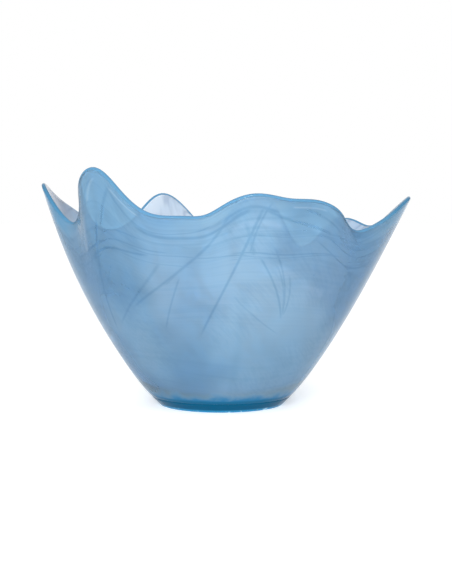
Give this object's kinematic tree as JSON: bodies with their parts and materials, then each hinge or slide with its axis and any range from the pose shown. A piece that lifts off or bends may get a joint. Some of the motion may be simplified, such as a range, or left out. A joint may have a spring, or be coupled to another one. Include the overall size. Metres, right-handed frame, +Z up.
{
  "type": "art glass bowl",
  "caption": "Flared bowl of swirled blue alabaster glass with a freely waved lip, a clear blue casing and a thick flat foot.",
  "frame": {"origin": "centre of the foot's flat underside, on the axis of the round lower wall", "axes": "+Z up out of the bowl's mouth, -Y towards the bowl's front, +X to the right seen from the front"},
  "size_m": [0.2798, 0.2581, 0.1772],
  "materials": {
    "casing_glass": "fire-polished clear blue glass, darker where the view runs along the wall",
    "lining_glass": "milky alabaster glass with white and grey swirls, smooth",
    "lip_glass": "fire-polished deeper blue bead",
    "foot_glass": "thick clear teal-blue glass, polished"
  },
  "bodies": {
    "root": {"blue_casing": "casing_glass", "alabaster_lining": "lining_glass", "lip_bead": "lip_glass", "foot_pad": "foot_glass"}
  },
  "joints": []
}
